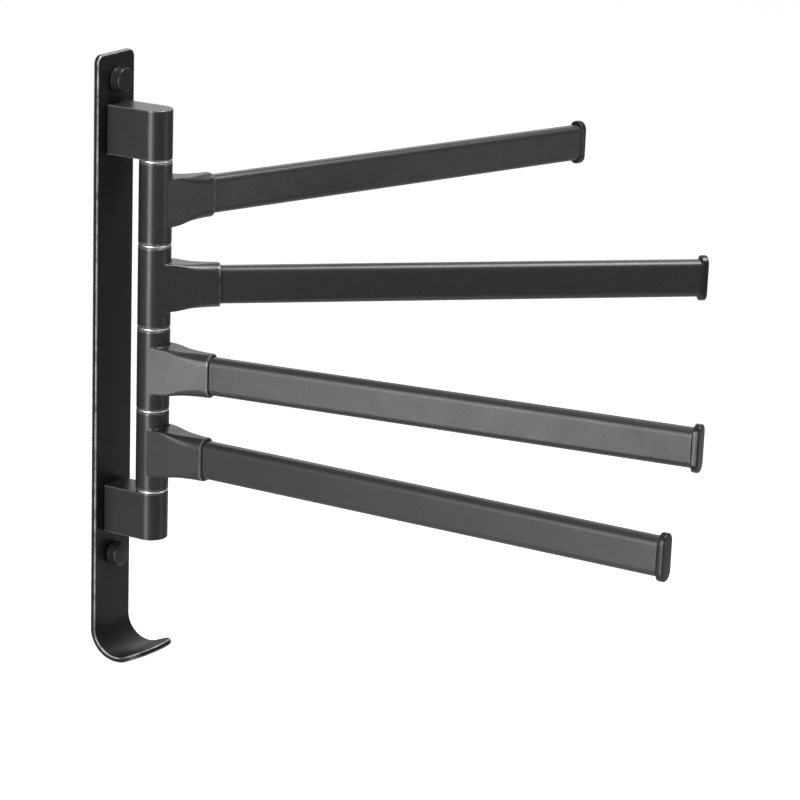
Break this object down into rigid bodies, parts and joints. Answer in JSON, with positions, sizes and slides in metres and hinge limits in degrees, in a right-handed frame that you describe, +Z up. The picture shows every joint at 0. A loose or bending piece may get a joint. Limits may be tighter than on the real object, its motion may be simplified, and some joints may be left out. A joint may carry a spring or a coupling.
{
  "type": "towel rack",
  "caption": "Wall-mounted towel rack whose flat bars swing on one vertical column, with a robe hook bent from the foot of its wall plate.",
  "frame": {"origin": "on the back face of the wall plate, in the middle of its width, level with the middle washer of the column", "axes": "+Y into the wall, -Y out into the room, +Z up"},
  "size_m": [0.3168, 0.3581, 0.3502],
  "materials": {
    "black_metal": "satin black anodised, fine blasted grain",
    "black_plastic": "moulded, semi-gloss black",
    "bright_metal": "bright turned stainless steel",
    "steel": "plain zinc-plated steel",
    "nylon": "natural white nylon"
  },
  "bodies": {
    "frame": {"wall_plate": "black_metal", "upper_block": "black_metal", "lower_block": "black_metal", "axle": "steel", "washer_1": "bright_metal", "washer_2": "bright_metal", "washer_3": "bright_metal", "washer_4": "bright_metal", "washer_5": "bright_metal", "block_screw_1": "steel", "block_screw_2": "steel", "block_screw_3": "steel", "block_screw_4": "steel", "wall_screw_upper": "steel", "wall_screw_lower": "steel", "cover_seat_upper": "black_plastic", "cover_seat_lower": "black_plastic", "screw_cover_upper": "black_plastic", "screw_cover_lower": "black_plastic"},
    "arm_1": {"arm_hub_1": "black_metal", "hub_bush_1": "nylon", "arm_bar_1": "black_metal", "bar_screw_1": "steel", "end_cap_1": "black_plastic"},
    "arm_2": {"arm_hub_2": "black_metal", "hub_bush_2": "nylon", "arm_bar_2": "black_metal", "bar_screw_2": "steel", "end_cap_2": "black_plastic"},
    "arm_3": {"arm_hub_3": "black_metal", "hub_bush_3": "nylon", "arm_bar_3": "black_metal", "bar_screw_3": "steel", "end_cap_3": "black_plastic"},
    "arm_4": {"arm_hub_4": "black_metal", "hub_bush_4": "nylon", "arm_bar_4": "black_metal", "bar_screw_4": "steel", "end_cap_4": "black_plastic"}
  },
  "joints": [
    {"name": "arm_1_swing", "type": "hinge", "parent": "frame", "child": "arm_1", "pos_m": [0, -0.0297, 0.0714], "axis": [0, 0, 1], "range_deg": [-158.9, 21.1]},
    {"name": "arm_2_swing", "type": "hinge", "parent": "frame", "child": "arm_2", "pos_m": [0, -0.0297, 0.0238], "axis": [0, 0, 1], "range_deg": [-130.3, 49.7]},
    {"name": "arm_3_swing", "type": "hinge", "parent": "frame", "child": "arm_3", "pos_m": [0, -0.0297, -0.0238], "axis": [0, 0, 1], "range_deg": [-97.9, 82.1]},
    {"name": "arm_4_swing", "type": "hinge", "parent": "frame", "child": "arm_4", "pos_m": [0, -0.0297, -0.0714], "axis": [0, 0, 1], "range_deg": [-90.3, 89.7]}
  ]
}
